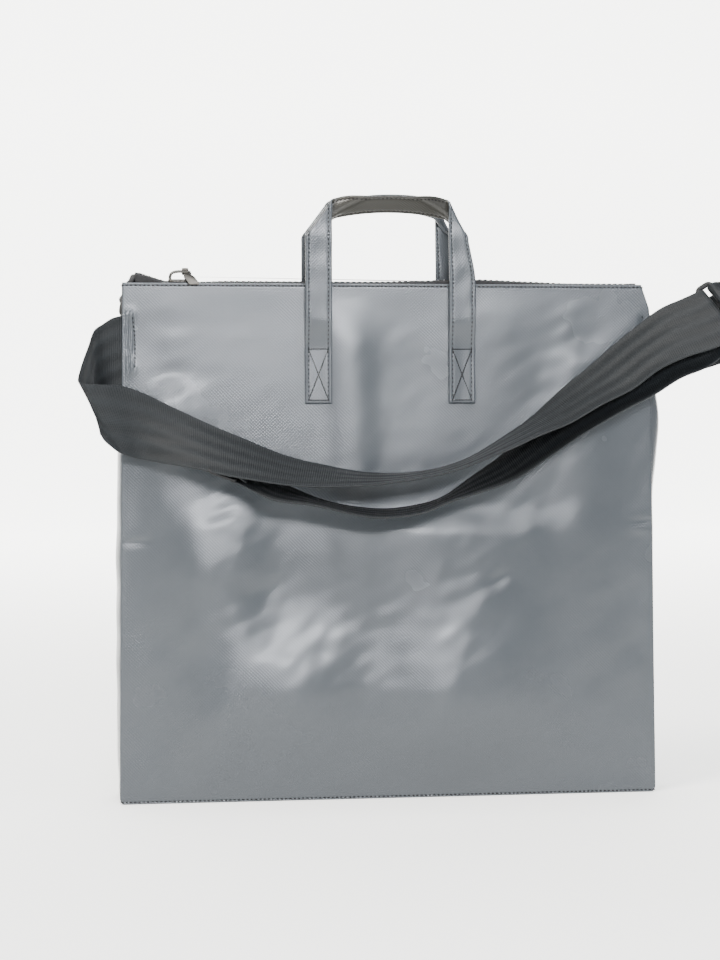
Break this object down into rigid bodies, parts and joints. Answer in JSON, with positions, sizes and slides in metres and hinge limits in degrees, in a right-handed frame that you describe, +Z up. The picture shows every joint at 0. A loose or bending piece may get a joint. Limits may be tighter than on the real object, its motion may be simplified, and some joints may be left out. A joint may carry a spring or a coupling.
{
  "type": "zip-top tarpaulin tote bag",
  "caption": "Flat zip-top tote bag in coated tarpaulin with short carry handles and a webbing shoulder strap hung across its front.",
  "frame": {"origin": "middle of the base panel, on the surface that the bag stands on", "axes": "+X to the right seen from the front, -Y out of the front where the strap hangs, +Z up towards the zipper"},
  "size_m": [0.5021, 0.0956, 0.4386],
  "materials": {
    "tarpaulin": "gloss",
    "webbing": "satin",
    "zipper_tape": "matte",
    "zipper_teeth": "satin",
    "gunmetal": "polished",
    "strap_hardware": "satin",
    "thread": "matte"
  },
  "bodies": {
    "shell": {"front_panel": "tarpaulin", "back_panel": "tarpaulin", "base_panel": "tarpaulin", "gusset_left": "tarpaulin", "gusset_right": "tarpaulin", "zipper_tape_front": "zipper_tape", "zipper_tape_back": "zipper_tape", "zipper_teeth_front": "zipper_teeth", "zipper_teeth_back": "zipper_teeth", "zipper_top_stop_front": "zipper_teeth", "zipper_top_stop_back": "zipper_teeth", "zipper_bottom_stop": "zipper_teeth", "zipper_end_tab_left": "zipper_tape", "zipper_end_tab_right": "zipper_tape", "handle_front_end_left": "tarpaulin", "handle_front_end_right": "tarpaulin", "handle_back_end_left": "tarpaulin", "handle_back_end_right": "tarpaulin", "strap_sewn_end_left": "webbing", "strap_sewn_end_right": "webbing"},
    "zipper_slider": {"zipper_slider_body": "gunmetal", "slider_bail": "gunmetal"},
    "zipper_pull": {"pull_tab": "gunmetal"},
    "handle_front": {"handle_front_loop": "tarpaulin"},
    "handle_back": {"handle_back_loop": "tarpaulin"},
    "shoulder_strap": {"webbing_left_fold": "webbing", "webbing_front_run": "webbing", "webbing_ring_turn": "webbing", "webbing_rear_run": "webbing", "strap_ring": "strap_hardware", "ring_tab_webbing": "webbing", "strap_adjuster": "strap_hardware"}
  },
  "joints": [
    {"name": "zipper_slide", "type": "slide", "parent": "shell", "child": "zipper_slider", "axis": [1, 0, 0], "range_m": [0, 0.315]},
    {"name": "pull_swing", "type": "hinge", "parent": "zipper_slider", "child": "zipper_pull", "pos_m": [-0.1478, 0, 0.3823], "axis": [-1, 0, 0], "range_deg": [0, 255]},
    {"name": "handle_front_fold", "type": "hinge", "parent": "shell", "child": "handle_front", "pos_m": [0, -0.0154, 0.3273], "axis": [1, 0, 0], "range_deg": [0, 120]},
    {"name": "handle_back_fold", "type": "hinge", "parent": "shell", "child": "handle_back", "pos_m": [0, 0.0154, 0.3273], "axis": [-1, 0, 0], "range_deg": [0, 120]},
    {"name": "strap_swing", "type": "hinge", "parent": "shell", "child": "shoulder_strap", "pos_m": [0, -0.009, 0.352], "axis": [-1, 0, 0], "range_deg": [0, 80]}
  ]
}
